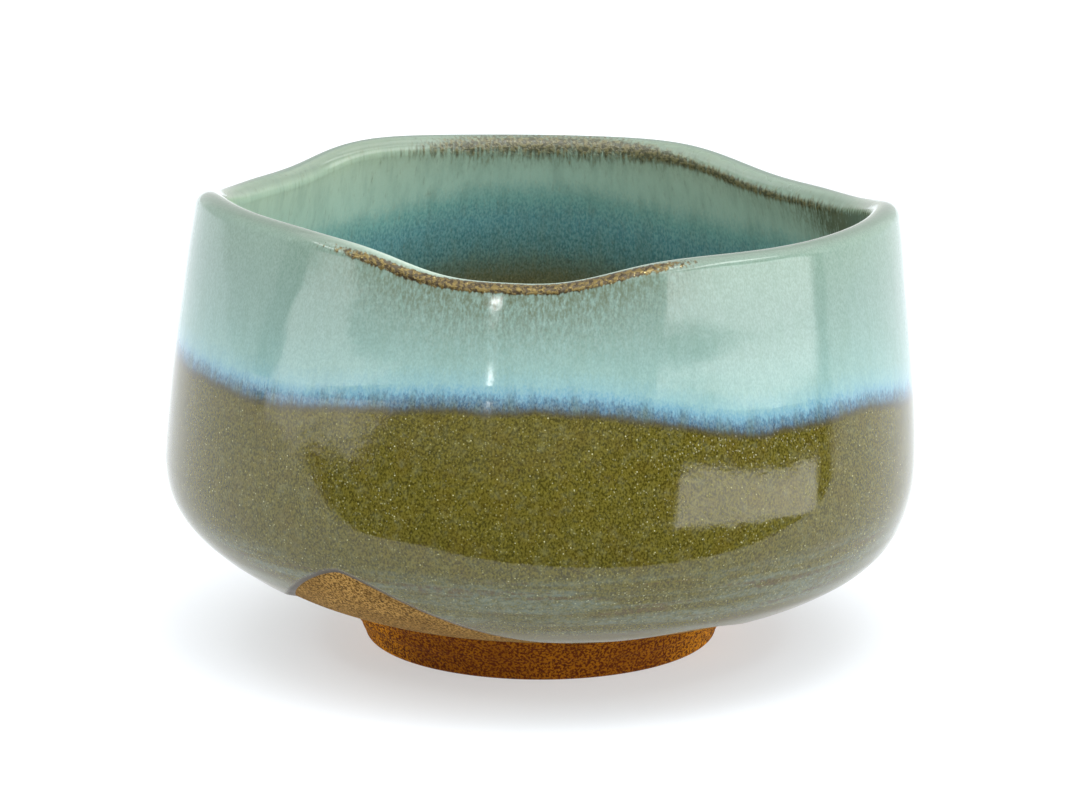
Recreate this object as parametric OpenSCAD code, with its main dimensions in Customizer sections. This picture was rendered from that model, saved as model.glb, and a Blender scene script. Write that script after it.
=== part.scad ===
// Matcha bowl: a hand-altered stoneware tea bowl on a separate foot ring,
// with an olive base glaze inside and out and a celadon glaze over the lip.
// Millimetres, +Z up.  The origin is under the middle of the bowl, on the
// plane that the foot ring stands on.  Angles run anticlockwise from +X,
// and the front of the bowl is at 270 degrees.

/* [Bowl] */
// Greatest width of the glazed bowl, at the belly
bowl_w = 120; // [108:1:132]
// Height of the glazed lip where no dip lowers it
bowl_h = 73.8; // [68:0.2:82]
// Height of the belly, where the bowl is widest
belly_h = 30.5; // [28:0.5:33]
// How much fuller the low flank is on the +X side than on average
flank_swell = 2.4; // [0:0.2:3]

/* [Lip] */
// Width of the lip's centre line, left to right
lip_w = 106.4; // [96:0.4:108]
// Depth of the lip's centre line, front to back
lip_d = 97; // [90:1:104]
// How far the lip has slumped towards +X
lip_shift = 1.2; // [0:0.2:2]
// Thickness of the clay at the lip
lip_t = 3.6; // [3:0.2:5]
// How much thinner the lip is in its front dip
lip_thinning = 1.2; // [0:0.2:1.6]

/* [Wall] */
// Thickness of the clay wall at the belly
wall_t = 6; // [4.5:0.5:7]
// Thickness of the clay floor above the foot ring
floor_t = 7; // [5:0.5:9]

/* [Foot ring] */
// Height of the foot ring
foot_h = 8.2; // [7:0.1:9]
// Outer diameter of the foot ring near the bottom
foot_w = 56.6; // [50:0.4:58]
// Width of the face that the foot ring stands on
foot_face = 3.4; // [2.4:0.2:4]

/* [Glaze] */
// Thickness of the olive base glaze
olive_t = 0.5; // [0.35:0.05:0.7]
// Thickness of the celadon glaze
celadon_t = 0.6; // [0.4:0.05:0.8]
// Height of the celadon's lower edge on the outside
celadon_h = 48.2; // [44:0.2:52]
// Height of the celadon's lower edge on the inside
celadon_in_h = 46.5; // [42:0.5:50]
// How far the celadon laps over the olive glaze
lap = 3.2; // [2:0.2:4]

/* [Hidden] */

// Dips are [angle, how far down, half-width in degrees, power]; a negative one is
// a rise.  A power above 2 gives a flat bottom with steep sides, below 2 a sharp one.
LIP_DIPS = [[262, 5, 23, 3], [333, 2.8, 50, 3], [30, 4.1, 25, 3], [73, 2.7, 54, 3], [156, 3.9, 24, 3]];
CELADON_DIPS = [[265, -2.7, 28, 3], [306, 2.7, 19, 2], [358, 7.1, 30, 2]];
CELADON_IN_DIPS = [[96, -4.5, 26, 2.5]];
BARE_CLAY_DIPS = [[238, -14.7, 20, 1.5], [300, -3.4, 15, 2]];
// Soft corners of the lip's plan are [angle, how far out, half-width, power].
LIP_CORNERS = [[132, 1.4, 10, 2], [230, 1.4, 10, 2], [293, 1.2, 10, 2], [60, 0.6, 16, 2]];
LIP_POWER = 1.86;      // 2 is an ellipse, less is more pointed
FLANK_POWER = 2.4;     // squareness of the outside below the belly
BASIN_POWER = 2.3;     // squareness of the inside below the belly
WALL_POWER = 1.4;      // how late the upper wall leans in
FLANK_DROP = 25.3;     // the flank's curve would close this far below the belly
BASIN_RISE = 2;        // the inside is widest this far above the belly
SWELL_H = 13.5;        // height of the flank's fullest swelling
SWELL_HALF = 7;        // half-height of that swelling
BARE_EDGE = 0.8;       // the glaze stops this far above the flank's lower edge
EDGE_T = 0.3;          // thickness of a glaze at its cut-off edge
FOOT_EDGE = 1.2;       // radius of the foot ring's bottom edges
FOOT_FLARE_OUT = 3.6;  // how far the foot ring widens up to the bowl, outside
FOOT_FLARE_IN = 1.4;   // and inside

COLUMNS = 90;
belly_r = bowl_w / 2 - olive_t;
crest_h = bowl_h - celadon_t;
basin_r = belly_r - wall_t;
basin_h = belly_h + BASIN_RISE;
floor_h = foot_h + floor_t;

function sum(v, i = 0) = i < len(v) ? v[i] + sum(v, i + 1) : 0;
function mix(p, q, f) = p * (1 - f) + q * f;
function turned_back(v) = [for (i = [len(v) - 1 : -1 : 0]) v[i]];
function wrap(d) = d - 360 * round(d / 360);
function dip(a, d) = d[1] * exp(-pow(abs(wrap(a - d[0])) / d[2], d[3]));
function dips(a, list) = sum([for (d = list) dip(a, d)]);

// The lip's centre line in plan, its crest, its half thickness and its lean.
function oval(a) = pow(
    pow(abs(cos(a)) / (lip_w / 2), LIP_POWER) + pow(abs(sin(a)) / (lip_d / 2), LIP_POWER), -1 / LIP_POWER);
function lip_r(a) = oval(a) + dips(a, LIP_CORNERS);
function lip_z(a) = crest_h - dips(a, LIP_DIPS);
function lip_half(a) = (lip_t - lip_thinning * dip(a, LIP_DIPS[0]) / LIP_DIPS[0][1]) / 2;
function lip_lean(a) = atan(
    WALL_POWER * (belly_r - lip_r(a) - lip_half(a)) / (lip_z(a) - lip_half(a) - belly_h));

// A quarter of a superellipse, from its level end (t = 0) to its upright end (t = 90).
function quarter(t, r, h, power) = [r * pow(cos(t), 2 / power), -h * pow(sin(t), 2 / power)];
function quarter_angle(drop, h, power) = asin(pow(drop / h, power / 2));
edge_angle = quarter_angle(belly_h - foot_h, FLANK_DROP, FLANK_POWER);

// The clay's profile at angle a as [r, z].  s is 0 at the flank's lower edge, 1 at
// the belly, 2 and 3 at the lip's shoulders, 4 at the belly inside, 5 mid floor.
function lip_point(a, t) = [lip_r(a), lip_z(a) - lip_half(a)]
    + lip_half(a) * [cos(180 * t + lip_lean(a)), sin(180 * t + lip_lean(a))];
function wall(low, high, t) = [mix(low[0], high[0], pow(t, WALL_POWER)), mix(low[1], high[1], t)];
function flank(s) = [0, belly_h] + quarter(edge_angle * (1 - s), belly_r, FLANK_DROP, FLANK_POWER);
function basin(t) = [0, basin_h] + quarter(90 * t, basin_r, basin_h - floor_h, BASIN_POWER);
function profile(a, s) =
    s <= 1 ? flank(s)
    : s <= 2 ? wall([belly_r, belly_h], lip_point(a, 0), s - 1)
    : s <= 3 ? lip_point(a, s - 2)
    : s <= 4 ? wall([basin_r, basin_h], lip_point(a, 1), 4 - s)
    : basin(s - 4);

// The profile's outward normal, and the point at distance d off the clay.
NUDGE = 0.01;
function normal(a, s) =
    let (t = profile(a, min(s + NUDGE, 5)) - profile(a, max(s - NUDGE, 0))) [t[1], -t[0]] / norm(t);
function swell(a, s, z) = s <= 2 ? flank_swell * cos(a) * exp(-pow((z - SWELL_H) / SWELL_HALF, 2)) : 0;
function slump(z) = lip_shift * max(0, (z - belly_h) / (crest_h - belly_h));
function skin(a, s, d) =
    let (p = profile(a, s) + d * normal(a, s), r = p[0] + swell(a, s, p[1]))
    [r * cos(a) + slump(p[1]), r * sin(a), p[1]];

// Where a height lies on the profile, as s.
function s_flank(z) = 1 - quarter_angle(belly_h - z, FLANK_DROP, FLANK_POWER) / edge_angle;
function s_outside(a, z) = 1 + (z - belly_h) / (lip_point(a, 0)[1] - belly_h);
function s_inside(a, z) = 4 - (z - basin_h) / (lip_point(a, 1)[1] - basin_h);

// The lines that run round the bowl, as s: 0 the flank's lower edge, 1 the olive
// glaze's foot, 2 the celadon's lower edge, 3 the olive's top, 4 and 5 the lip's
// shoulders, 6 the olive's top inside, 7 the celadon's lower edge, 8 mid floor.
function lines(a) =
    let (bare = foot_h + BARE_EDGE - dips(a, BARE_CLAY_DIPS),
        out = celadon_h - dips(a, CELADON_DIPS), in = celadon_in_h - dips(a, CELADON_IN_DIPS))
    [
        0, s_flank(bare), s_outside(a, out), s_outside(a, out + lap), 2,
        3, s_inside(a, in + lap), s_inside(a, in), 5
    ];
function s_at(a, q) = let (l = lines(a), i = min(floor(q), 7)) mix(l[i], l[i + 1], q - i);

// A row of points round the bowl at line q and distance d off the clay, and the
// rows' places from one line to another.
function row(q, d) = [for (i = [0 : COLUMNS - 1]) let (a = i * 360 / COLUMNS) skin(a, s_at(a, q), d)];
BAND_ROWS = [2, 14, 1, 5, 6, 5, 1, 10];
function places(from, to) =
    [for (band = [from : to - 1], k = [0 : BAND_ROWS[band] - 1]) band + k / BAND_ROWS[band]];

// The olive glaze's thickness at line q: under the celadon it thins to nothing.
function olive_at(q) = olive_t * max(0, min(1, max(3 - q, q - 6)));

// Triangles between row j and row k.  On the way back down a coat the squares are
// cut along the other diagonal, so that they match the squares that they face.
function strip(j, k, back) = [
    for (i = [0 : COLUMNS - 1])
        let (n = (i + 1) % COLUMNS, p = j * COLUMNS + i, q = j * COLUMNS + n, r = k * COLUMNS + n,
            s = k * COLUMNS + i)
        each back ? [[p, s, q], [q, s, r]] : [[p, r, q], [p, s, r]]
];
function fan(pole, j) = [for (i = [0 : COLUMNS - 1]) [pole, j * COLUMNS + i, j * COLUMNS + (i + 1) % COLUMNS]];

// A solid with a point below its first row and a point above its last.
module turned_solid(rows, low, high) {
    n = len(rows);
    polyhedron([for (r = rows) each r, low, high], [
        each fan(n * COLUMNS, 0),
        for (j = [0 : n - 2]) each strip(j, j + 1, false),
        for (f = fan(n * COLUMNS + 1, n - 1)) turned_back(f)
    ]);
}

// A coat of glaze that runs right round: up its outer face and down its inner one.
module coat(outer, inner) {
    rows = concat(outer, turned_back(inner));
    n = len(rows);
    polyhedron([for (r = rows) each r], [for (j = [0 : n - 1]) each strip(j, (j + 1) % n, j >= len(outer))]);
}

// The thrown and altered bowl, without its foot ring.
module clay_body() {
    color("#b98a54") turned_solid([for (q = places(0, 8)) row(q, 0)], [0, 0, foot_h], [0, 0, floor_h]);
}

// The ring that the bowl stands on, flaring up to the bowl.
module foot_ring() {
    outer = foot_w / 2;
    inner = outer - 2 * FOOT_EDGE - foot_face;
    color("#8f5f33") rotate_extrude($fn = 96) polygon([
        [inner - FOOT_FLARE_IN, foot_h],
        for (t = [180 : 15 : 270]) [inner + FOOT_EDGE, FOOT_EDGE] + FOOT_EDGE * [cos(t), sin(t)],
        for (t = [270 : 15 : 360]) [outer - FOOT_EDGE, FOOT_EDGE] + FOOT_EDGE * [cos(t), sin(t)],
        [outer + FOOT_FLARE_OUT, foot_h]
    ]);
}

// The olive glaze from the bare clay round the foot up to under the celadon.
module olive_glaze_outside() {
    outer = [row(1, EDGE_T), for (q = places(1, 3)) if (q > 1) row(q, olive_at(q))];
    inner = [for (q = places(1, 3)) row(q, 0), row(3, 0)];
    color("#6b6428") coat(outer, inner);
}

// The olive glaze over the whole inside, up to under the celadon.
module olive_glaze_inside() {
    places = [for (q = places(6, 8)) if (q > 6) q];
    under = [row(6, 0), for (q = places) row(q, 0)];
    over = [for (q = places) row(q, olive_at(q))];
    color("#5d5a30")
        turned_solid(concat(turned_back(under), over), [0, 0, floor_h], [0, 0, floor_h + olive_t]);
}

// The celadon glaze, dipped over the lip and hanging down both sides.
module celadon_glaze() {
    outer = [
        row(2, olive_t + EDGE_T),
        for (q = places(2, 7)) if (q > 2) row(q, olive_at(q) + celadon_t),
        row(7, olive_t + EDGE_T)
    ];
    inner = [for (q = places(2, 7)) row(q, olive_at(q)), row(7, olive_t)];
    color("#b4cdb9") coat(outer, inner);
}

clay_body();
foot_ring();
olive_glaze_outside();
olive_glaze_inside();
celadon_glaze();
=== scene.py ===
"""Matcha bowl: the looks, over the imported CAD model.  Sizes are in mm until mesh_piece makes them metres."""

import math

import bpy
import numpy as np
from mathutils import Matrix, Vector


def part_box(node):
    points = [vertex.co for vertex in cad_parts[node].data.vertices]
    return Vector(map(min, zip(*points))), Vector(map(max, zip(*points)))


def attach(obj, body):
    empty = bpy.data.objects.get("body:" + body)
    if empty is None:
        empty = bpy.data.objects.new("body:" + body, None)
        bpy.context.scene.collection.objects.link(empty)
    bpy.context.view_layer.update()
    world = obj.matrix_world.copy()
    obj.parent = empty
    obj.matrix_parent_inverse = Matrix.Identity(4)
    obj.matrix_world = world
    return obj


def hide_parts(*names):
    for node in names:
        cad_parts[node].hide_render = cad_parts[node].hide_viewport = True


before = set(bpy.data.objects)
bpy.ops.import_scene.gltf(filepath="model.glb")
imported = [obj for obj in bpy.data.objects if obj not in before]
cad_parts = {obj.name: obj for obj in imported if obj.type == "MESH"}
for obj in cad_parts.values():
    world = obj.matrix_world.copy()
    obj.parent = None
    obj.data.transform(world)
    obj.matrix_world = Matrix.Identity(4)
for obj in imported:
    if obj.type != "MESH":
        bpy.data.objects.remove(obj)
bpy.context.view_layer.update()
MM = 0.001


def size_mm(node):
    """A CAD node's lowest and highest corners, in mm."""
    low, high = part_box(node)
    return np.array(low) / MM, np.array(high) / MM


# ---------------------------------------------------------------- sizes, in mm
# The glazes.  Each thins to a film where it ends, and LAP is how far the celadon runs over the olive.
OLIVE_T = 0.5
CELADON_T = 0.6
LIP_GLAZE_T = OLIVE_T + CELADON_T / 5
FILM_T = 0.015
LAP = 3.2

# The bowl's own sizes, from the boxes of its CAD nodes.
olive_low, olive_high = size_mm("olive_glaze_outside")
foot_high = size_mm("foot_ring")[1]
GLAZED_R = min(-olive_low[0], olive_high[0], -olive_low[1], olive_high[1])
BELLY_R = GLAZED_R - OLIVE_T
CREST_H = size_mm("celadon_glaze")[1][2] - LIP_GLAZE_T
FLOOR_H = size_mm("olive_glaze_inside")[0][2]
FOOT_H = foot_high[2]
FOOT_TOP_R = foot_high[0]

# The clay.  SWELL is how far its low flank stands out on the right, and in on the left, at SWELL_H.
BELLY_H = 30.5
LIP_W = 106.4
LIP_D = 97.0
LIP_SHIFT = 1.2
LIP_T = 3.6
LIP_THINNING = 1.2
WALL_T = 6.0
BASIN_R = BELLY_R - WALL_T
BASIN_H = BELLY_H + 2.0
FLANK_DROP = 25.3
SWELL = 2.4
SWELL_H = 13.5
SWELL_HALF = 7.0
DOME = 0.5

# How deep the thrown clay is uneven: flats and pulls in the wall, lines from the wheel, marks on the foot.
FLATS = 0.35
PULLS = 0.05
WHEEL = 0.03
FOOT_MARKS = 0.14
FOOT_WOBBLE = 0.22

# The foot ring: it flares upwards outside and leans in a little inside, and its edges are rounded.
FOOT_FACE = 3.4
FOOT_EDGE = 1.2
FOOT_FLARE = 3.6
FOOT_LEAN = 1.4

# Powers of the curves: 2 is an ellipse or a parabola, and more is fuller.
LIP_POWER = 1.86
FLANK_POWER = 2.4
BASIN_POWER = 2.3
WALL_POWER = 1.4

# Heights of the glazes' edges.
CELADON_H = 48.2
CELADON_IN_H = 46.5
BARE_EDGE = 0.8

# Rows are [angle, how far down or out, half-width in degrees, power], as in the CAD.
LIP_DIPS = [[262, 5, 23, 3], [333, 2.8, 50, 3], [30, 4.1, 25, 3], [73, 2.7, 54, 3], [156, 3.9, 24, 3]]
LIP_CORNERS = [[132, 1.4, 10, 2], [230, 1.4, 10, 2], [293, 1.2, 10, 2], [60, 0.6, 16, 2]]
CELADON_DIPS = [[265, -2.7, 28, 3], [306, 2.7, 19, 2], [358, 7.1, 30, 2]]
CELADON_IN_DIPS = [[96, -4.5, 26, 2.5]]
BARE_CLAY_DIPS = [[238, -14.7, 20, 1.5], [300, -3.4, 15, 2]]

# Where round the lip the glaze changes, and where a highlight and shade are painted on it, in rows of the same
# kind: 1 is the whole change.
FRONT_BREAK = [263, 1, 31, 5]
# FRONT_CREST: at the front left the break sits lower and the painted highlight on the crest is wider.
FRONT_CREST = [236, 1, 16, 4]
BACK_BREAK = [69, 1, 50, 6]
BACK_BREAK_WIDE = [92, 1, 25, 4]
# RIGHT_SHADE: painted shade, which darkens the inside on the right with more olive hairs.
RIGHT_SHADE = [10, 1, 24, 2]

# Lines run round the bowl and are numbered 0 to 8.  LIP_TOP is the crest, halfway from line 4 to line 5.
# FOLD is how far the extra rows beside a line are from it, and FAR is a distance past every edge.
LIP_TOP = 4.5
FOLD = 0.0005
FAR = 99.0

# Points round the bowl, and rows of points in each band between two lines.
COLUMNS = 720
FINE_ROWS = [6, 150, 14, 46, 26, 46, 14, 110]
COARSE_ROWS = [2, 24, 3, 8, 6, 8, 3, 20]
CLAY_ROWS = [12, 60, 4, 20, 16, 20, 4, 40]


# ---------------------------------------------------------------- the bowl's shape
def cosd(a):
    """Cosine of an angle in degrees."""
    return np.cos(np.radians(a))


def sind(a):
    """Sine of an angle in degrees."""
    return np.sin(np.radians(a))


def smooth(x):
    """Goes smoothly from 0 to 1 as x does."""
    x = np.clip(x, 0, 1)
    return x * x * (3 - 2 * x)


def dip(a, row):
    """One dip's depth at angle a."""
    centre, depth, half_width, power = row
    turn = (a - centre + 180) % 360 - 180
    return depth * np.exp(-((np.abs(turn) / half_width) ** power))


def dips(a, rows):
    """How deep all the dips are together at angle a."""
    return sum(dip(a, row) for row in rows)


def lip_r(a):
    """Radius of the lip's centre line in plan."""
    across = (np.abs(cosd(a)) / (LIP_W / 2)) ** LIP_POWER
    deep = (np.abs(sind(a)) / (LIP_D / 2)) ** LIP_POWER
    return (across + deep) ** (-1 / LIP_POWER) + dips(a, LIP_CORNERS)


def lip_z(a):
    """Height of the clay's crest."""
    return CREST_H - dips(a, LIP_DIPS)


def lip_half(a):
    """Half the lip's thickness: it is thinnest in the front dip."""
    thinned = LIP_THINNING * dip(a, LIP_DIPS[0]) / LIP_DIPS[0][1]
    return (LIP_T - thinned) / 2


def lip_lean(a):
    """How far the wall leans in where it meets the lip, in degrees."""
    rise = lip_z(a) - lip_half(a) - BELLY_H
    return np.degrees(np.arctan(WALL_POWER * (BELLY_R - lip_r(a) - lip_half(a)) / rise))


def lip_point(a, t):
    """The clay's lip as r and z, from its outer shoulder (t = 0) to its inner one (t = 1)."""
    turn = 180 * t + lip_lean(a)
    r = lip_r(a) + lip_half(a) * cosd(turn)
    z = lip_z(a) - lip_half(a) + lip_half(a) * sind(turn)
    return r, z


def quarter(t, r, h, power):
    """A quarter of a superellipse, from its level end (t = 0) to its upright end (t = 90)."""
    return r * np.clip(cosd(t), 0, 1) ** (2 / power), -h * np.clip(sind(t), 0, 1) ** (2 / power)


def quarter_angle(drop, h, power):
    """Where a quarter has come down by drop, in degrees."""
    return np.degrees(np.arcsin((drop / h) ** (power / 2)))


EDGE_ANGLE = quarter_angle(BELLY_H - FOOT_H, FLANK_DROP, FLANK_POWER)


def profile(a, s):
    """The clay as r and z: s is 0 at the flank's lower edge, 1 belly, 2 and 3 lip, 4 inside, 5 mid floor."""
    outer_r, outer_z = lip_point(a, 0)
    inner_r, inner_z = lip_point(a, 1)
    up = np.clip(s - 1, 0, 1)
    down = np.clip(4 - s, 0, 1)
    flank_r, flank_z = quarter(EDGE_ANGLE * (1 - np.clip(s, 0, 1)), BELLY_R, FLANK_DROP, FLANK_POWER)
    wall_r = BELLY_R + (outer_r - BELLY_R) * up**WALL_POWER
    wall_z = BELLY_H + (outer_z - BELLY_H) * up
    over_r, over_z = lip_point(a, np.clip(s - 2, 0, 1))
    inside_r = BASIN_R + (inner_r - BASIN_R) * down**WALL_POWER
    inside_z = BASIN_H + (inner_z - BASIN_H) * down
    basin_r, basin_z = quarter(90 * np.clip(s - 4, 0, 1), BASIN_R, BASIN_H - FLOOR_H, BASIN_POWER)
    bands = [s <= 1, s <= 2, s <= 3, s <= 4]
    r = np.select(bands, [flank_r, wall_r, over_r, inside_r], basin_r)
    z = np.select(bands, [flank_z + BELLY_H, wall_z, over_z, inside_z], basin_z + BASIN_H)
    return r, z


def skin(a, s, d):
    """Points at distance d off the clay, as an array of x, y, z in mm."""
    nudge = 0.01
    r0, z0 = profile(a, np.maximum(s - nudge, 0))
    r1, z1 = profile(a, np.minimum(s + nudge, 5))
    length = np.hypot(r1 - r0, z1 - z0)
    r, z = profile(a, s)
    r = r + d * (z1 - z0) / length
    z = z - d * (r1 - r0) / length
    swell = SWELL * cosd(a) * np.exp(-(((z - SWELL_H) / SWELL_HALF) ** 2))
    r = r + np.where(s <= 2, swell, 0)
    slump = LIP_SHIFT * np.clip((z - BELLY_H) / (CREST_H - BELLY_H), 0, None)
    return np.stack([r * cosd(a) + slump, r * sind(a), z], -1)


# ---------------------------------------------------------------- the lines that run round the bowl
def bare_line(a):
    """Height of the olive glaze's lower edge."""
    return FOOT_H + BARE_EDGE - dips(a, BARE_CLAY_DIPS)


def celadon_line(a):
    """Height of the celadon's lower edge outside."""
    return CELADON_H - dips(a, CELADON_DIPS)


def celadon_in_line(a):
    """Height of the celadon's lower edge inside."""
    return CELADON_IN_H - dips(a, CELADON_IN_DIPS)


def s_flank(z):
    """Where on the flank the clay is at height z."""
    return 1 - quarter_angle(BELLY_H - z, FLANK_DROP, FLANK_POWER) / EDGE_ANGLE


def s_outside(a, z):
    """Where on the outer wall the clay is at height z."""
    return 1 + (z - BELLY_H) / (lip_point(a, 0)[1] - BELLY_H)


def s_inside(a, z):
    """Where on the inner wall the clay is at height z."""
    return 4 - (z - BASIN_H) / (lip_point(a, 1)[1] - BASIN_H)


def lines(a):
    """The lines as s: the flank's edge, the glazes' edges outside, the lip, the edges inside, mid floor."""
    level = np.ones_like(a)
    outside = celadon_line(a)
    inside = celadon_in_line(a)
    return np.stack(
        [
            0 * level,
            s_flank(bare_line(a)),
            s_outside(a, outside),
            s_outside(a, outside + LAP),
            2 * level,
            3 * level,
            s_inside(a, inside + LAP),
            s_inside(a, inside),
            5 * level,
        ]
    )


def s_at(a, q):
    """The place s on the clay at line q, which may lie between two lines."""
    along = lines(a)
    low = np.minimum(np.floor(q), 7).astype(int)
    part = (q - low)[:, None]
    return along[low] * (1 - part) + along[low + 1] * part


def places(start, stop, rows):
    """Rows of points from line start to line stop: rows[i] above line i, and a close few at each line."""
    bands = [band + np.arange(rows[band]) / rows[band] for band in range(start, stop)]
    folds = [line + side * FOLD for line in range(start, stop + 1) for side in (-1, 0, 1)]
    q = np.unique(np.concatenate(bands + [folds]))
    return q[(q >= start) & (q <= stop)]


# ---------------------------------------------------------------- how thick the glazes are
def no_glaze(q):
    """No thickness, for a face that lies on the clay."""
    return 0 * q


def olive_at(q):
    """The olive glaze's thickness at line q: under the celadon it thins to a film."""
    return np.clip(OLIVE_T * np.maximum(3 - q, q - 6), FILM_T, OLIVE_T)


def glaze_at(q):
    """The whole glaze's thickness at line q: it rolls in quickly at line 1, and the celadon slowly."""
    rolled = OLIVE_T * smooth((q - 1) / 0.07)
    celadon = CELADON_T * smooth(np.minimum(q - 2, 7 - q) / 1.5)
    return np.maximum(rolled + np.maximum(celadon / 5, FILM_T), celadon)


def olive_coat_at(q):
    """The outside olive coat's thickness at line q, with its rolled lower edge."""
    return np.minimum(glaze_at(q), np.where(q > 2, olive_at(q), OLIVE_T))


# ---------------------------------------------------------------- meshes
def unevenness(a, z):
    """How far the thrown wall sinks in below its design, in mm: broad flats, then faint wheel lines."""
    flats = FLATS * (1 + sind(3 * a + 40) * sind(2 * a - 25 + 1.5 * z)) / 2
    pulls = PULLS * (1 + sind(17 * z + 2 * a) * sind(5 * a + 60)) / 2
    wheel = WHEEL * (1 + np.sin(z * 2.4 + 0.5 * cosd(2 * a))) / 2 * smooth((24 - z) / 8)
    return (flats + pulls) * smooth((z - 10) / 12) * smooth((66 - z) / 10) + wheel


def surface(q, d):
    """Points over the whole ring of columns at lines q, d mm off the clay, and their angles."""
    a = np.arange(COLUMNS) * 360 / COLUMNS
    s = s_at(a, q)
    angles = np.broadcast_to(a, s.shape)
    height = profile(angles, s)[1]
    sink = unevenness(angles, height) * smooth((4 - s) / 0.5)
    off = np.broadcast_to(d[:, None], s.shape) - sink
    return skin(angles, s, off), angles


def ring_faces(rows, cols, joined):
    """Quads between the rows of points; when joined, also from the last row to the first."""
    index = np.arange(rows * cols).reshape(rows, cols)
    turned = np.roll(index, -1, axis=1)
    above = np.roll(index, -1, axis=0)
    above_turned = np.roll(turned, -1, axis=0)
    quads = np.stack([index, turned, above_turned, above], -1)
    kept = quads if joined else quads[:-1]
    return [tuple(face) for face in kept.reshape(-1, 4).tolist()]


def pole_faces(rows, cols):
    """Triangles that close the first row on the point after all rows, and the last row on the next one."""
    low, high = rows * cols, rows * cols + 1
    last = (rows - 1) * cols
    turned = [(i + 1) % cols for i in range(cols)]
    first_fan = [(low, turned[i], i) for i in range(cols)]
    last_fan = [(high, last + i, last + turned[i]) for i in range(cols)]
    return first_fan + last_fan


def add_field(mesh, key, values, has_poles):
    """Stores one number at each point; a pole takes the mean of the row beside it."""
    flat = values.reshape(-1)
    if has_poles:
        flat = np.append(flat, [values[0].mean(), values[-1].mean()])
    layer = mesh.attributes.new(key, "FLOAT", "POINT")
    layer.data.foreach_set("value", flat.astype(np.float32))


def mesh_piece(name, points, poles=None, fields=None):
    """A closed mesh from rows of points in mm; poles close its ends, or its last row joins its first."""
    rows, cols = points.shape[:2]
    verts = points.reshape(-1, 3)
    faces = ring_faces(rows, cols, poles is None)
    if poles is not None:
        verts = np.vstack([verts, poles])
        faces += pole_faces(rows, cols)
    mesh = bpy.data.meshes.new(name)
    mesh.from_pydata((verts * MM).tolist(), [], faces)
    mesh.polygons.foreach_set("use_smooth", [True] * len(faces))
    for key, values in (fields or {}).items():
        add_field(mesh, key, values, poles is not None)
    mesh.update()
    piece = bpy.data.objects.new(name, mesh)
    bpy.context.scene.collection.objects.link(piece)
    return piece


def finish_piece(piece, node):
    """Puts a piece on the bowl's one body, in place of its CAD node."""
    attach(piece, "root")
    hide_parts(node)
    return piece


# ---------------------------------------------------------------- what the glaze's colour depends on
def way_from_crest(points, q):
    """Distance along the glaze from the lip's crest, in mm: above 0 outside, below 0 inside."""
    if q[0] > LIP_TOP or q[-1] < LIP_TOP:
        return np.where(q < LIP_TOP, FAR, -FAR)[:, None] * np.ones(points.shape[1])
    steps = np.linalg.norm(np.diff(points, axis=0), axis=-1)
    along = np.vstack([np.zeros(points.shape[1]), np.cumsum(steps, axis=0)])
    return along[np.argmin(np.abs(q - LIP_TOP))] - along


def hump(way, centre, half_width, power=2):
    """1 at centre mm from the crest, and falling to 0 on both sides of it."""
    return np.exp(-(((way - centre) / half_width) ** power))


def thin_glaze(angles, way):
    """Where the glaze runs thin at the lip and breaks to iron: at the front outside, at the back inside."""
    left = dip(angles, FRONT_CREST)
    wide = dip(angles, BACK_BREAK_WIDE)
    outside = dip(angles, FRONT_BREAK) * hump(way, 1.95 + 0.7 * left, 1.05 - 0.15 * left, 4)
    inside = dip(angles, BACK_BREAK) * (0.95 - 0.1 * wide) * hump(way, 1.5 * wide - 3.2, 0.85 + 1.45 * wide)
    return outside + inside


def haze_and_painted_shade(angles, way):
    """Where the celadon is thin enough for the olive glaze to show through in hairs, below the lip; inside on
    the right it is made stronger to paint shade there.
    """
    right = dip(angles, RIGHT_SHADE)
    outside = dip(angles, FRONT_BREAK) * smooth(way / 3) * hump(np.clip(way, 0, None), 0, 9)
    # Painted shade: 1.6 * right darkens the inside on the right with olive hairs.
    inside = np.maximum(0.45 * dip(angles, BACK_BREAK), 1.6 * right) * smooth(-way / 3 - 0.4)
    return outside + inside * hump(np.clip(-way, 0, None), 0, 6 + 5 * right, 4)


def glaze_fields(points, angles, q):
    """Numbers for the glaze's materials: heights over its edges in mm, where it is thin, hazy or dull, and
    where a highlight on the front crest and shade inside on the right are painted.
    """
    z = points[..., 2]
    outside = (q < LIP_TOP)[:, None]
    way = way_from_crest(points, q)
    front = dip(angles, FRONT_BREAK)
    back = dip(angles, BACK_BREAK)
    left = dip(angles, FRONT_CREST)
    return {
        "rise": z - np.where(outside, celadon_line(angles), celadon_in_line(angles)),
        "crest": way,
        "low": np.where(outside, z - bare_line(angles), FAR),
        "thin": thin_glaze(angles, way),
        "haze_and_shade": haze_and_painted_shade(angles, way),
        # pale is a painted highlight along the front crest, where the glaze's thin edge would catch the light.
        "pale": front * hump(way, 0.5 * left - 0.1, 0.8 + 0.7 * left),
        "matte": 0.8 * front * hump(way, 1.9, 1.6, 4) + back * hump(way, -1.6, 2.4, 4),
    }


def in_turn(first, second):
    """Two sets of fields, one after the other."""
    return {key: np.vstack([first[key], second[key]]) for key in first}


# ---------------------------------------------------------------- the five pieces
def coat(name, node, start, stop, outer_t, under_t):
    """A glaze coat that runs right round, from line start up its outer face to stop, and back under it."""
    q = places(start, stop, FINE_ROWS)
    under_q = places(start, stop, COARSE_ROWS)
    outer, angles = surface(q, outer_t(q))
    under, under_angles = surface(under_q, under_t(under_q))
    under_fields = glaze_fields(under, under_angles, under_q)
    backwards = {key: values[::-1] for key, values in under_fields.items()}
    fields = in_turn(glaze_fields(outer, angles, q), backwards)
    return finish_piece(mesh_piece(name, np.concatenate([outer, under[::-1]]), fields=fields), node)


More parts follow.
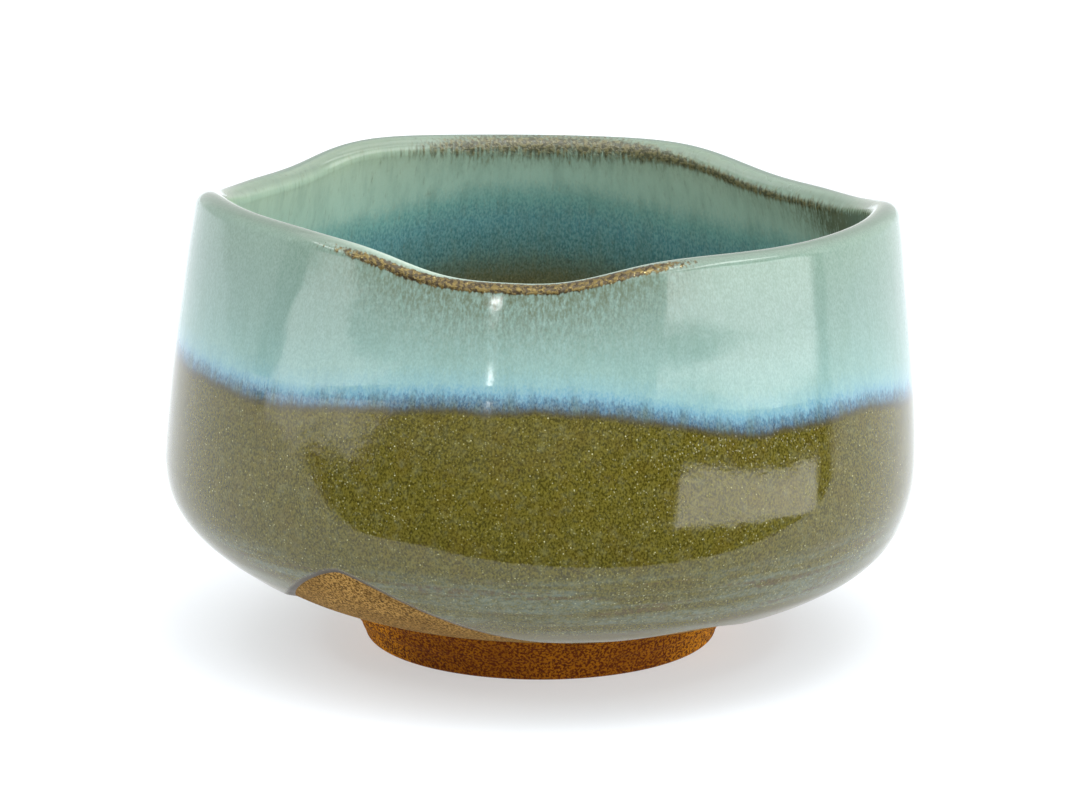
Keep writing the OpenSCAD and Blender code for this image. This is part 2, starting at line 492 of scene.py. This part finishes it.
def olive_inside_coat(name):
    """The olive coat over the basin: its under face out from mid floor, then its upper face back."""
    q = places(6, 8, FINE_ROWS)[:-1]
    under_q = places(6, 8, COARSE_ROWS)[1:-1][::-1]
    upper, angles = surface(q, olive_at(q))
    under, under_angles = surface(under_q, no_glaze(under_q))
    fields = in_turn(glaze_fields(under, under_angles, under_q), glaze_fields(upper, angles, q))
    poles = [[0, 0, FLOOR_H], [0, 0, FLOOR_H + OLIVE_T]]
    return finish_piece(mesh_piece(name, np.concatenate([under, upper]), poles, fields), "olive_glaze_inside")


def underside_ring(edge, share):
    """A ring of the underside, at this share of the way out to its edge, with a low dome at its middle."""
    ring = edge * share
    ring[:, 2] = FOOT_H - DOME * math.exp(-((share / 0.2) ** 2))
    return ring


def clay(name):
    """The clay under the glazes: it shows at the bare patch and underneath."""
    q = places(0, 8, CLAY_ROWS)[:-1]
    points = surface(q, no_glaze(q))[0]
    underside = [underside_ring(points[0], share) for share in np.linspace(0.04, 0.985, 26)]
    poles = [[0, 0, FOOT_H - DOME], [0, 0, FLOOR_H]]
    return finish_piece(mesh_piece(name, np.concatenate([underside, points]), poles), "clay_body")


def foot_outline(inner, outer):
    """The foot ring's section as r and z: down its inside, round its face, and up its outside."""
    side_h = FOOT_H - FOOT_EDGE
    inner_edge, outer_edge = inner + FOOT_EDGE, outer - FOOT_EDGE
    inside = [(inner - FOOT_LEAN * t, FOOT_EDGE + side_h * t) for t in np.linspace(1, 0, 30)]
    outside = [(outer + FOOT_FLARE * t, FOOT_EDGE + side_h * t) for t in np.linspace(0, 1, 40)]
    arcs = [(inner_edge, t) for t in np.linspace(187, 270, 12)]
    arcs += [(outer_edge, t) for t in np.linspace(270, 353, 12)]
    face = [(r + FOOT_EDGE * cosd(t), FOOT_EDGE + FOOT_EDGE * sind(t)) for r, t in arcs]
    return inside + face + outside


def foot(name):
    """The foot ring, cut a little unevenly, with turning marks up its sides."""
    a = np.arange(COLUMNS) * 360 / COLUMNS
    outer = FOOT_TOP_R - FOOT_FLARE
    inner = outer - 2 * FOOT_EDGE - FOOT_FACE
    rows = []
    for r, z in foot_outline(inner, outer):
        fade = min(z / 2, 1) * (z < FOOT_H - 0.1)
        mark = FOOT_MARKS * (1 + math.sin(2.6 * z)) / 2
        wobble = FOOT_WOBBLE * (1 + sind(2 * a + 70) * sind(3 * a + 8 * z)) / 2
        side = 1 if r > (inner + outer) / 2 else -1
        radius = r - side * fade * (mark + wobble)
        rows.append(np.stack([radius * cosd(a), radius * sind(a), np.full_like(a, z)], -1))
    return finish_piece(mesh_piece(name, np.array(rows)), "foot_ring")


# ---------------------------------------------------------------- nodes
def rgb(red, green, blue):
    """A screen colour, 0 to 255, as the linear colour that the shader takes."""
    parts = [c / 255 for c in (red, green, blue)]
    return tuple(c / 12.92 if c <= 0.04045 else ((c + 0.055) / 1.055) ** 2.4 for c in parts) + (1.0,)


class Nodes:
    """The nodes of a material or a world, and short ways to join them."""

    def __init__(self, tree):
        self.nodes = tree.nodes
        self.links = tree.links

    def feed(self, socket, value):
        """Joins another node's output to a socket, or sets the socket to a plain value."""
        if hasattr(value, "node"):
            self.links.new(value, socket)
        else:
            socket.default_value = value

    def math(self, operation, a, b=0.0, clamp=False):
        node = self.nodes.new("ShaderNodeMath")
        node.operation = operation
        node.use_clamp = clamp
        self.feed(node.inputs[0], a)
        self.feed(node.inputs[1], b)
        return node.outputs[0]

    def plus(self, *values):
        """The sum of all the values."""
        total = values[0]
        for value in values[1:]:
            total = self.math("ADD", total, value)
        return total

    def minus(self, a, b):
        return self.math("SUBTRACT", a, b)

    def times(self, *values):
        """The product of all the values."""
        product = values[0]
        for value in values[1:]:
            product = self.math("MULTIPLY", product, value)
        return product

    def most(self, a, b):
        return self.math("MAXIMUM", a, b)

    def fade(self, value, start, stop, low=0.0, high=1.0):
        """Goes smoothly from low at start to high at stop."""
        if start > stop:
            start, stop, low, high = stop, start, high, low
        node = self.nodes.new("ShaderNodeMapRange")
        node.interpolation_type = "SMOOTHSTEP"
        self.feed(node.inputs["Value"], value)
        for key, number in (("From Min", start), ("From Max", stop), ("To Min", low), ("To Max", high)):
            node.inputs[key].default_value = number
        return node.outputs["Result"]


class Graph(Nodes):
    """A material's nodes, feeding its one Principled shader."""

    def __init__(self, name):
        self.material = bpy.data.materials.new(name)
        self.material.use_nodes = True
        super().__init__(self.material.node_tree)
        self.shader = self.nodes["Principled BSDF"]
        self.place = self.nodes.new("ShaderNodeTexCoord").outputs["Object"]
        split = self.nodes.new("ShaderNodeSeparateXYZ")
        self.links.new(self.place, split.inputs[0])
        self.y, self.z = split.outputs[1], split.outputs[2]

    def field(self, name):
        """One of the numbers that glaze_fields gives."""
        node = self.nodes.new("ShaderNodeAttribute")
        node.attribute_name = name
        return node.outputs["Fac"]

    def noise(self, size, detail=2.0, stretch=(1, 1, 1), shift=0.0):
        """Noise, 0 to 1, with features about size mm across; stretch below 1 draws them out."""
        mapping = self.nodes.new("ShaderNodeMapping")
        self.links.new(self.place, mapping.inputs["Vector"])
        mapping.inputs["Scale"].default_value = stretch
        node = self.nodes.new("ShaderNodeTexNoise")
        node.noise_dimensions = "4D"
        self.links.new(mapping.outputs["Vector"], node.inputs["Vector"])
        node.inputs["W"].default_value = shift
        node.inputs["Scale"].default_value = 1 / (size * MM)
        node.inputs["Detail"].default_value = detail
        return node.outputs["Fac"]

    def grains(self, size, reach, share, shift=0.0):
        """Round grains size mm apart: 1 at their middles, in about this share of the cells."""
        node = self.nodes.new("ShaderNodeTexVoronoi")
        node.voronoi_dimensions = "4D"
        self.links.new(self.place, node.inputs["Vector"])
        node.inputs["W"].default_value = shift
        node.inputs["Scale"].default_value = 1 / (size * MM)
        near = self.fade(node.outputs["Distance"], reach, reach * 0.4)
        split = self.nodes.new("ShaderNodeSeparateColor")
        self.links.new(node.outputs["Color"], split.inputs[0])
        return self.times(near, self.math("LESS_THAN", split.outputs[0], share))

    def mix(self, factor, a, b):
        """The colour that goes from a to b as factor goes from 0 to 1."""
        node = self.nodes.new("ShaderNodeMix")
        node.data_type = "RGBA"
        self.feed(node.inputs[0], factor)
        self.feed(node.inputs[6], a)
        self.feed(node.inputs[7], b)
        return node.outputs[2]

    def mix_value(self, factor, a, b):
        """The number that goes from a to b as factor goes from 0 to 1."""
        return self.plus(a, self.times(factor, self.minus(b, a)))

    def layered(self, colour, layers):
        """A colour under thin layers, each (where it lies, how strong it is, its colour)."""
        for where, strength, tint in layers:
            colour = self.mix(self.times(where, strength), colour, tint)
        return colour

    def ramp(self, value, low, high, stops):
        """Colours along value, from low to high; each stop is (place, colour)."""
        share = self.math("DIVIDE", self.minus(value, low), high - low, clamp=True)
        node = self.nodes.new("ShaderNodeValToRGB")
        self.links.new(share, node.inputs["Fac"])
        elements = node.color_ramp.elements
        for element, (place, colour) in zip(elements, (stops[0], stops[-1])):
            element.position = (place - low) / (high - low)
            element.color = colour
        for place, colour in stops[1:-1]:
            elements.new((place - low) / (high - low)).color = colour
        return node.outputs["Color"]

    def finish(self, colour, roughness, height, distance, metallic=0.0, **settings):
        """Feeds the shader; height is its bump, distance mm deep, and settings are uniform values."""
        bump = self.nodes.new("ShaderNodeBump")
        bump.inputs["Distance"].default_value = distance * MM
        self.links.new(height, bump.inputs["Height"])
        self.feed(self.shader.inputs["Base Color"], colour)
        self.feed(self.shader.inputs["Roughness"], roughness)
        self.feed(self.shader.inputs["Metallic"], metallic)
        self.links.new(bump.outputs["Normal"], self.shader.inputs["Normal"])
        for key, value in settings.items():
            self.shader.inputs[key.replace("_", " ")].default_value = value
        return self.material


# ---------------------------------------------------------------- materials
def olive_colour(g, dark, light):
    """Olive glaze: grainy, with pale flecks and dark iron specks.  Returns its colour and its flecks."""
    grain = g.fade(g.noise(0.3, 3.0, (1, 1, 0.75)), 0.35, 0.65)
    blotch = g.fade(g.noise(4.0, 4.0, shift=3.0), 0.42, 0.7)
    milk = g.fade(g.noise(1.2, 5.0, shift=16.0), 0.45, 0.85)
    drifts = g.fade(g.noise(1.0, 3.0, shift=7.0), 0.32, 0.62)
    flecks = g.times(g.grains(0.4, 0.42, 0.6, 1.0), drifts)
    bright = g.grains(0.55, 0.27, 0.24, 5.0)
    iron = g.most(g.grains(1.1, 0.2, 0.3, 9.0), g.grains(0.6, 0.24, 0.14, 21.0))
    layers = [
        (blotch, 0.15, rgb(92, 70, 18)),
        (milk, 0.2, rgb(138, 144, 112)),
        (flecks, 0.55, rgb(160, 158, 106)),
        (bright, 0.75, rgb(196, 194, 146)),
        (iron, 0.75, rgb(52, 36, 14)),
    ]
    return g.layered(g.mix(grain, dark, light), layers), g.most(flecks, bright)


def low_sheen(g, colour, flecks):
    """The olive glaze low on the flank: blue-grey in rings, with light flecks, between brownish wheel lines.
    """
    low = g.fade(g.z, 27 * MM, 23 * MM)
    rings = g.fade(g.noise(1.5, 4.0, (0.07, 0.07, 1), 17.0), 0.38, 0.6)
    grain = g.fade(g.noise(0.5, 3.0, (0.5, 0.5, 1), 22.0), 0.3, 0.7)
    wheel_line = g.fade(g.noise(1.0, 2.0, (0.04, 0.04, 1), 18.0), 0.56, 0.62)
    spots = g.fade(g.noise(0.8, 3.0, shift=19.0), 0.38, 0.6)
    layers = [
        (g.times(low, rings), g.plus(0.12, g.times(grain, 0.36)), rgb(110, 126, 118)),
        (g.times(low, flecks), 0.42, rgb(166, 162, 122)),
        (g.times(wheel_line, spots, low), 0.6, rgb(76, 54, 28)),
    ]
    return g.layered(colour, layers)


def celadon_outside(g, height):
    """The celadon outside, by height over its edge: slate, blue, aqua, then green-grey at the lip."""
    stops = [
        (0, rgb(58, 60, 60)),
        (0.8, rgb(52, 70, 88)),
        (1.8, rgb(68, 102, 126)),
        (2.8, rgb(100, 144, 162)),
        (4.0, rgb(118, 156, 160)),
        (6.5, rgb(120, 152, 147)),
        (12, rgb(115, 142, 134)),
        (18, rgb(111, 135, 125)),
        (26, rgb(110, 133, 118)),
    ]
    return g.ramp(height, 0, 26, stops)


def celadon_inside(g, height):
    """The celadon inside, by height over its edge: a broad teal band, then green-grey; lighter than outside,
    partly as painted light for the dimmer inside.
    """
    stops = [
        (-6, rgb(76, 76, 48)),
        (-1, rgb(66, 84, 68)),
        (2.5, rgb(64, 122, 130)),
        (6.5, rgb(82, 148, 160)),
        (10, rgb(116, 176, 172)),
        (13.5, rgb(160, 198, 184)),
        (20, rgb(170, 198, 178)),
        (26, rgb(162, 182, 150)),
    ]
    return g.ramp(height, -6, 26, stops)


class Runs:
    """How the glaze ran down: its streaks, and its heights over the celadon's edge as they roughen them."""

    def __init__(self, g):
        rise = g.field("rise")
        waves = g.noise(9.0, 2.0, (1, 1, 0.2), 6.0)
        self.fine = g.noise(0.3, 3.0, (1, 1, 0.5), 20.0)
        self.hairs = g.noise(0.5, 3.0, (1, 1, 0.14), 2.0)
        self.streaks = g.noise(1.5, 3.0, (1, 1, 0.15), 4.0)
        comb = g.plus(g.times(self.hairs, 2.2), g.times(self.streaks, 2.0), g.times(self.fine, 2.6))
        self.ragged = g.plus(rise, g.minus(comb, 2.85))
        self.edge = g.plus(rise, g.times(g.minus(waves, 0.22), 2.0), g.minus(self.hairs, 0.5))


def celadon_body(g, runs, inside):
    """The celadon's colour: cloudy, woven with teal inside, and thinner at the lip and in its drips, with a
    painted highlight along the front crest.
    """
    crest = g.field("crest")
    cloud = g.fade(g.noise(0.24, 3.0, (1, 1, 0.6), 8.0), 0.3, 0.7)
    weave = g.fade(g.noise(0.32, 4.0, (1, 1, 0.5), 23.0), 0.34, 0.66)
    woven = g.mix(weave, rgb(44, 88, 96), rgb(132, 182, 180))
    teal = g.times(g.fade(runs.ragged, 15, 8), g.fade(runs.ragged, -4, 2), inside)
    drip = g.fade(runs.streaks, 0.6, 0.25)
    lip = g.times(g.fade(crest, -3.6, -1.2), g.fade(crest, 3.6, 1.0))
    layers = [
        (cloud, 0.16, rgb(186, 212, 202)),
        (teal, 0.38, woven),
        (drip, 0.26, rgb(104, 132, 118)),
        (lip, 0.72, rgb(84, 98, 86)),
        # Painted highlight: a pale line along the front crest.
        (g.field("pale"), 0.8, rgb(176, 198, 182)),
    ]
    return g.layered(g.mix(inside, celadon_outside(g, runs.ragged), celadon_inside(g, runs.ragged)), layers)


def hair_haze_and_shade(g, runs, inside):
    """How much of the olive glaze shows through below the lip, in clear hairs outside and softer ones inside;
    inside on the right this is painted shade too.
    """
    hair = g.plus(g.fade(runs.hairs, 0.34, 0.62), g.fade(runs.fine, 0.3, 0.7))
    hair = g.mix_value(inside, g.times(hair, 0.68), g.plus(0.45, g.times(hair, 0.4)))
    haze_and_shade = g.math("MULTIPLY", g.field("haze_and_shade"), hair, clamp=True)
    return g.times(haze_and_shade, g.mix_value(inside, 0.8, 0.85))


def iron_breaks(g, runs):
    """Where the glaze breaks to iron: in a ragged band outside, and more softly inside."""
    thin = g.field("thin")
    ragged_thin = g.plus(thin, g.times(g.minus(runs.hairs, 0.5), 1.4))
    ragged_band = g.times(g.fade(ragged_thin, 0.25, 0.6), g.fade(thin, 0.02, 0.2))
    return ragged_band, g.fade(ragged_thin, 0.05, 0.85)


def glaze(name, dark, light):
    """Both glazes as one run of colour over each wall, by the height over the celadon's edge."""
    g = Graph(name)
    runs = Runs(g)
    inside = g.fade(g.field("crest"), 0.6, -0.6)
    outside = g.minus(1.0, inside)
    olive, flecks = olive_colour(g, dark, light)

    breaks, soft_breaks = iron_breaks(g, runs)
    rust = g.fade(g.noise(0.6, 4.0, shift=12.0), 0.42, 0.58)
    # Painted glints: pale golden grains in the front break stand in for the small highlights that sparkle
    # there.
    painted_glints = g.grains(0.5, 0.34, 0.3, 24.0)
    front_iron_and_glints = g.layered(g.mix(rust, rgb(50, 32, 0), rgb(104, 86, 36)), [(painted_glints, 0.7, rgb(206, 190, 140))])
    back_iron = g.mix(rust, rgb(60, 55, 28), rgb(104, 97, 60))
    front_breaks = g.times(breaks, outside)
    haze_and_shade_colour = g.mix(inside, rgb(80, 84, 58), rgb(76, 84, 60))
    celadon_layers = [
        (hair_haze_and_shade(g, runs, inside), 1.0, haze_and_shade_colour),
        (front_breaks, 0.9, front_iron_and_glints),
        (g.times(soft_breaks, inside), 0.92, back_iron),
    ]
    celadon = g.layered(celadon_body(g, runs, inside), celadon_layers)

    covered = g.mix_value(inside, g.fade(runs.edge, -0.2, 0.4), g.fade(runs.ragged, -6.5, -1.5))
    border = g.times(g.fade(runs.edge, -0.8, -0.1), g.fade(runs.edge, 0.9, 0.2), outside)
    foot_line = g.fade(g.field("low"), 1.1, 0.45)
    colour = g.mix(covered, g.mix(inside, low_sheen(g, olive, flecks), olive), celadon)
    colour = g.layered(colour, [(border, 0.6, rgb(64, 62, 50)), (foot_line, 0.85, rgb(44, 28, 18))])

    grain = g.times(g.minus(1.0, covered), flecks)
    pits = g.noise(0.5, 2.0, shift=13.0)
    peel = g.noise(2.4, 2.0, shift=14.0)
    height = g.plus(peel, g.times(pits, 0.2), g.times(grain, 0.8), g.times(breaks, rust, 2.0))
    gloss = g.fade(g.noise(3.0, 3.0, shift=15.0), 0.3, 0.7, 0.05, 0.1)
    dull = g.plus(g.times(grain, 0.14), g.times(g.field("matte"), 0.22), g.times(foot_line, 0.3))
    lustre = g.times(front_breaks, 0.55)
    return g.finish(colour, g.plus(gloss, dull), height, 0.02, metallic=lustre, IOR=1.5)


def bare_clay(name, pale, deep, speck, light, front_shade_strength):
    """Unglazed stoneware: sandy, with dark specks, light grains and turning lines, and darker and redder at
    the front as painted shade under the belly.
    """
    g = Graph(name)
    sand = g.noise(0.38, 5.0)
    patch = g.fade(g.noise(6.0, 4.0, shift=1.0), 0.35, 0.65)
    specks = g.most(g.grains(0.9, 0.42, 0.5, 2.0), g.grains(0.55, 0.42, 0.45, 4.0))
    # Painted shade: towards the front the clay is darkened and reddened, standing in for the shade under the
    # belly.
    front_shade = g.fade(g.y, -15 * MM, -23 * MM)
    layers = [
        (patch, 0.35, deep),
        (specks, 0.75, speck),
        (g.grains(0.7, 0.3, 0.3, 6.0), 0.6, light),
        (front_shade, front_shade_strength, rgb(84, 28, 0)),
    ]
    colour = g.layered(g.mix(g.fade(sand, 0.44, 0.56), deep, pale), layers)
    turning = g.noise(0.8, 2.0, (0.08, 0.08, 1), 5.0)
    height = g.plus(sand, g.times(turning, 0.6), g.times(specks, -0.6))
    roughness = g.fade(sand, 0.3, 0.7, 0.75, 0.92)
    return g.finish(colour, roughness, height, 0.15, IOR=1.4, Specular_IOR_Level=0.15)


def floor_paper():
    """Pale paper, which gives off a little light of its own so that shadows on it stay pale."""
    g = Graph("floor_paper")
    grain = g.noise(1.2, 3.0)
    colour = g.mix(grain, rgb(174, 180, 186), rgb(180, 186, 192))
    settings = {"Emission_Color": (1, 1, 1, 1), "Emission_Strength": 0.48}
    return g.finish(colour, g.fade(grain, 0.3, 0.7, 0.7, 0.8), grain, 0.01, **settings)


# ---------------------------------------------------------------- pieces
def dress(piece, material):
    """Gives a piece its material."""
    piece.data.materials.append(material)


# The last number is how strong the painted shade at the front is: none on the bowl's clay, some on the foot.
bare = bare_clay("bare_clay", rgb(168, 130, 70), rgb(94, 66, 24), rgb(46, 32, 14), rgb(206, 172, 108), 0.0)
foot_clay = bare_clay("foot_clay", rgb(216, 140, 22), rgb(92, 46, 2), rgb(28, 14, 2), rgb(224, 162, 52), 0.6)
outside_olive = glaze("olive_outside_glaze", rgb(54, 50, 6), rgb(98, 91, 30))
# The inside olive is lighter than the outside one: partly its own greyer colour, partly painted light for the
# dimmer inside.
inside_olive = glaze("olive_inside_glaze", rgb(74, 74, 48), rgb(110, 110, 78))
celadon_glaze = glaze("celadon_glaze", rgb(54, 50, 6), rgb(98, 91, 30))
dress(clay("bowl_clay"), bare)
dress(foot("foot"), foot_clay)
olive_coat = coat("olive_coat_outside", "olive_glaze_outside", 1, 3, olive_coat_at, no_glaze)
dress(olive_coat, outside_olive)
dress(olive_inside_coat("olive_coat_inside"), inside_olive)
celadon_coat = coat("celadon_coat", "celadon_glaze", 2, 7, glaze_at, olive_at)
dress(celadon_coat, celadon_glaze)


# ---------------------------------------------------------------- stage, camera and light, in m
FLOOR_REACH = 4.0
TABLE_FRONT = -0.112
TABLE_SLANT = 0.33


def floor_part(name, corners, paper, glossy):
    """A flat part of the floor; a part that isn't glossy stays out of the glaze's reflections."""
    mesh = bpy.data.meshes.new(name)
    mesh.from_pydata([(x, y, 0.0) for x, y in corners], [], [tuple(range(len(corners)))])
    part = bpy.data.objects.new(name, mesh)
    bpy.context.scene.collection.objects.link(part)
    part.visible_glossy = glossy
    part.data.materials.append(paper)


def make_floor():
    """The front part lies beyond the table's edge in the glaze's reflections, so they don't show it."""
    far = FLOOR_REACH
    left = TABLE_FRONT - TABLE_SLANT * far
    right = TABLE_FRONT + TABLE_SLANT * far
    paper = floor_paper()
    floor_part("floor_back", [(-far, left), (far, right), (far, far), (-far, far)], paper, True)
    floor_part("floor_front", [(-far, -far), (far, -far), (far, right), (-far, left)], paper, False)


def make_camera():
    """Looks down on the bowl's middle from the front; the lens gives px_per_mm there."""
    elevation = math.radians(14.5)
    distance, width_px, px_per_mm = 0.9, 1080, 6.275
    target_x, target_z = -0.0001, 0.0373
    data = bpy.data.cameras.new("camera")
    data.sensor_width = 36
    data.lens = px_per_mm * distance / MM * data.sensor_width / width_px
    data.clip_start, data.clip_end = 0.01, 20
    camera = bpy.data.objects.new("camera", data)
    height = target_z + distance * math.sin(elevation)
    camera.location = (target_x, -distance * math.cos(elevation), height)
    camera.rotation_euler = (math.pi / 2 - elevation, 0, 0)
    bpy.context.scene.collection.objects.link(camera)
    bpy.context.scene.camera = camera


class Studio(Nodes):
    """The world as a studio: brightness by direction, as azimuth from the front and elevation, in degrees."""

    def __init__(self):
        world = bpy.data.worlds.new("studio")
        bpy.context.scene.world = world
        world.use_nodes = True
        super().__init__(world.node_tree)
        split = self.nodes.new("ShaderNodeSeparateXYZ")
        self.links.new(self.nodes.new("ShaderNodeTexCoord").outputs["Generated"], split.inputs[0])
        x, y, z = split.outputs
        self.azimuth = self.times(self.math("ARCTAN2", x, self.times(y, -1.0)), 180 / math.pi)
        self.elevation = self.times(self.math("ARCSINE", z), 180 / math.pi)
        self.level = 0.0

    def between(self, value, low, high, soft):
        """1 between low and high, and 0 outside them, with soft edges."""
        above = self.fade(value, low - soft, low + soft)
        below = self.fade(value, high + soft, high - soft)
        return self.times(above, below)

    def panel(self, left, right, low, high, level, soft=2.0, tilt=0.0, lean=0.0):
        """Adds a lit panel: tilt raises it towards its right, and lean moves it right as it rises."""
        azimuth = self.minus(self.azimuth, self.times(self.elevation, lean))
        elevation = self.minus(self.elevation, self.times(self.minus(self.azimuth, left), tilt))
        across = self.between(azimuth, left, right, soft)
        up = self.between(elevation, low, high, soft)
        self.level = self.most(self.level, self.times(across, up, level))

    def finish(self, base, seen):
        """base is the dimmest level, and seen is the plain level that the camera sees behind all."""
        camera = self.nodes.new("ShaderNodeLightPath").outputs["Is Camera Ray"]
        level = self.times(self.most(self.level, base), self.minus(1.0, camera))
        background = self.nodes["Background"]
        self.links.new(self.plus(level, self.times(camera, seen)), background.inputs["Strength"])
        background.inputs["Color"].default_value = (1, 1, 1, 1)


def make_studio():
    """Each panel is left, right, low and high in degrees, and its level."""
    studio = Studio()
    # The pale backdrop: straight behind, then round to each side.
    studio.panel(146, 185, -90, 90, 1.0)
    studio.panel(-185, -146, -90, 90, 1.0)
    studio.panel(97, 150, -90, 90, 1.3)
    studio.panel(-150, -102, -90, 90, 0.85)
    # The ceiling, with a bright bank of lamps, and a thin row of lamps on each side that lines the lip.
    studio.panel(-185, 185, 38, 95, 1.67, soft=4.0)
    studio.panel(-125, 125, 58, 72, 3.5, soft=1.5)
    studio.panel(25, 105, 42, 46.5, 8.2, soft=0.8)
    studio.panel(-105, -30, 42, 46.5, 8.5, soft=0.8)
    # The room in front, the window on the right, and the low lights on the left and the right.
    studio.panel(-100, 98, 10, 40, 0.4, soft=4.0)
    studio.panel(28, 92, 12, 36, 3.9, soft=1.6, tilt=-0.17)
    studio.panel(-96, -62.5, -5, 5, 2.6, soft=1.2, tilt=0.25, lean=1.33)
    studio.panel(41, 91, -6.5, 1.5, 3.6, soft=0.7, tilt=-0.1)
    # Two small lamps that glint on the front.
    studio.panel(-20, -18.6, 18.2, 20.6, 20.0, soft=0.4)
    studio.panel(-20.8, -18.2, 26.6, 28.2, 30.0, soft=0.4)
    studio.finish(0.12, 1.0)


def make_overhead():
    """A softbox over the bowl and a little in front, which glints on the lip."""
    data = bpy.data.lights.new("softbox", "AREA")
    data.shape = "RECTANGLE"
    data.size, data.size_y, data.energy = 0.45, 0.3, 2.2
    lamp = bpy.data.objects.new("softbox", data)
    lamp.location = (0.12, -0.22, 0.95)
    lamp.rotation_euler = (0.228, 0.126, 0)
    bpy.context.scene.collection.objects.link(lamp)


make_floor()
make_camera()
make_studio()
make_overhead()
bpy.context.scene.view_settings.view_transform = "Standard"


def corners(bounds):
    """A box's two corners as plain lists of numbers."""
    return [[float(c) for c in corner] for corner in bounds]
